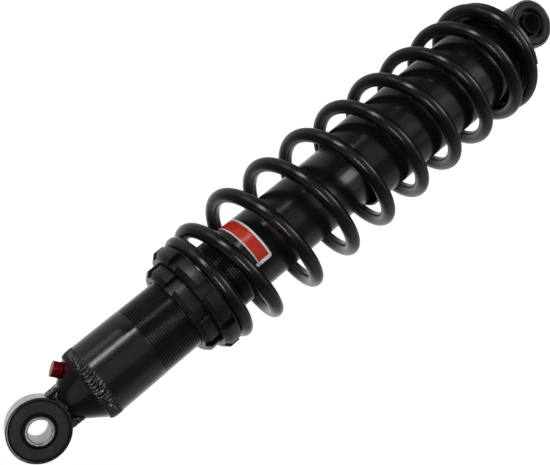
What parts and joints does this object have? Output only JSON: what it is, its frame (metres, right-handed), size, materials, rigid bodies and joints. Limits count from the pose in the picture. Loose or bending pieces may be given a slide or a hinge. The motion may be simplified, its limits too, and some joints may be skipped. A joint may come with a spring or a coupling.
{
  "type": "coil-over shock absorber",
  "caption": "Long coil-over gas shock absorber with an eye at each end, a threaded body with slotted preload and lock rings, and a black coil spring over a dust shield.",
  "frame": {"origin": "centre of the lower (rod end) eye, on its bolt axis, halfway across its width", "axes": "+Z along the damper axis towards the upper (threaded body) eye; +Y along both eye bolts; +X completes the frame, and the charge screw is on the +X side"},
  "size_m": [0.0962, 0.0963, 0.5142],
  "materials": {
    "black_paint": "gloss black paint on steel",
    "black_powder_coat": "gloss black powder coat",
    "black_anodised": "satin black anodised aluminium",
    "red_anodised": "bright red anodised aluminium",
    "zinc_steel": "zinc plated steel",
    "black_oxide_steel": "black oxide steel",
    "hard_chrome": "polished hard chrome",
    "bare_aluminium": "turned aluminium",
    "bare_steel": "oiled steel",
    "black_rubber": "moulded rubber",
    "black_plastic": "smooth black nylon",
    "bronze_ptfe": "bronze filled PTFE",
    "label_vinyl": "glossy vinyl"
  },
  "bodies": {
    "rod_assembly": {"lower_mount": "black_paint", "lower_bushing": "black_rubber", "lower_retainer": "black_powder_coat", "dust_shield": "black_plastic", "jam_nut": "bare_steel", "bump_stop": "black_rubber", "damper_rod": "hard_chrome", "top_out_bumper": "black_rubber", "rebound_shim_stack": "bare_steel", "main_piston": "bare_aluminium", "piston_band": "bronze_ptfe", "compression_shim_stack": "bare_steel", "piston_nut": "bare_steel"},
    "lower_pivot_sleeve": {"lower_sleeve": "black_oxide_steel"},
    "spring": {"coil_spring": "black_powder_coat"},
    "damper_body": {"damper_tube": "black_paint", "upper_mount": "black_paint", "weld_bead": "black_paint", "upper_bushing": "black_rubber", "charge_screw": "red_anodised", "charge_screw_oring": "black_rubber", "label": "label_vinyl", "seal_head": "bare_aluminium", "seal_head_oring": "black_rubber", "seal_head_circlip": "bare_steel", "rod_wiper": "black_rubber", "rod_guide_bush": "bronze_ptfe", "rod_seal": "black_rubber"},
    "upper_pivot_sleeve": {"upper_sleeve": "zinc_steel"},
    "gas_piston": {"floating_piston": "bare_aluminium", "floating_piston_oring": "black_rubber"},
    "spring_perch": {"thrust_washer": "black_plastic"},
    "preload_adjuster": {"preload_ring": "black_anodised"},
    "adjuster_lock": {"lock_ring": "black_anodised"}
  },
  "joints": [
    {"name": "eye_swivel", "type": "hinge", "parent": "rod_assembly", "child": "spring", "pos_m": [0, 0, 0.0404], "axis": [0, 0, 1], "continuous": true},
    {"name": "damper_stroke", "type": "slide", "parent": "spring", "child": "damper_body", "axis": [0, 0, -1], "range_m": [0, 0.11], "stiffness_N_per_m": 20000, "springref_m": -0.02, "deforming": ["coil_spring"]},
    {"name": "gas_piston_slide", "type": "slide", "parent": "damper_body", "child": "gas_piston", "axis": [0, 0, 1], "range_m": [0, 0.0147]},
    {"name": "upper_bushing_twist", "type": "hinge", "parent": "damper_body", "child": "upper_pivot_sleeve", "pos_m": [0, 0, 0.475], "axis": [0, 1, 0], "range_deg": [-15, 15], "stiffness_Nm_per_rad": 2},
    {"name": "lower_bushing_twist", "type": "hinge", "parent": "rod_assembly", "child": "lower_pivot_sleeve", "pos_m": [0, 0, 0], "axis": [0, 1, 0], "range_deg": [-15, 15], "stiffness_Nm_per_rad": 2},
    {"name": "preload_travel", "type": "slide", "parent": "damper_body", "child": "spring_perch", "axis": [0, 0, 1], "range_m": [0, 0.025], "deforming": ["coil_spring"]},
    {"name": "preload_turn", "type": "hinge", "parent": "spring_perch", "child": "preload_adjuster", "pos_m": [0, 0, 0.35], "axis": [0, 0, 1], "range_deg": [0, 5144]},
    {"name": "lock_turn", "type": "hinge", "parent": "spring_perch", "child": "adjuster_lock", "pos_m": [0, 0, 0.36], "axis": [0, 0, 1], "range_deg": [0, 5144]}
  ],
  "couplings": [
    {"joint": "gas_piston_slide", "follows": "damper_stroke", "ratio": 0.1322},
    {"joint": "preload_turn", "follows": "preload_travel", "rad_per_m": 3590.4},
    {"joint": "lock_turn", "follows": "preload_travel", "rad_per_m": 3590.4}
  ]
}
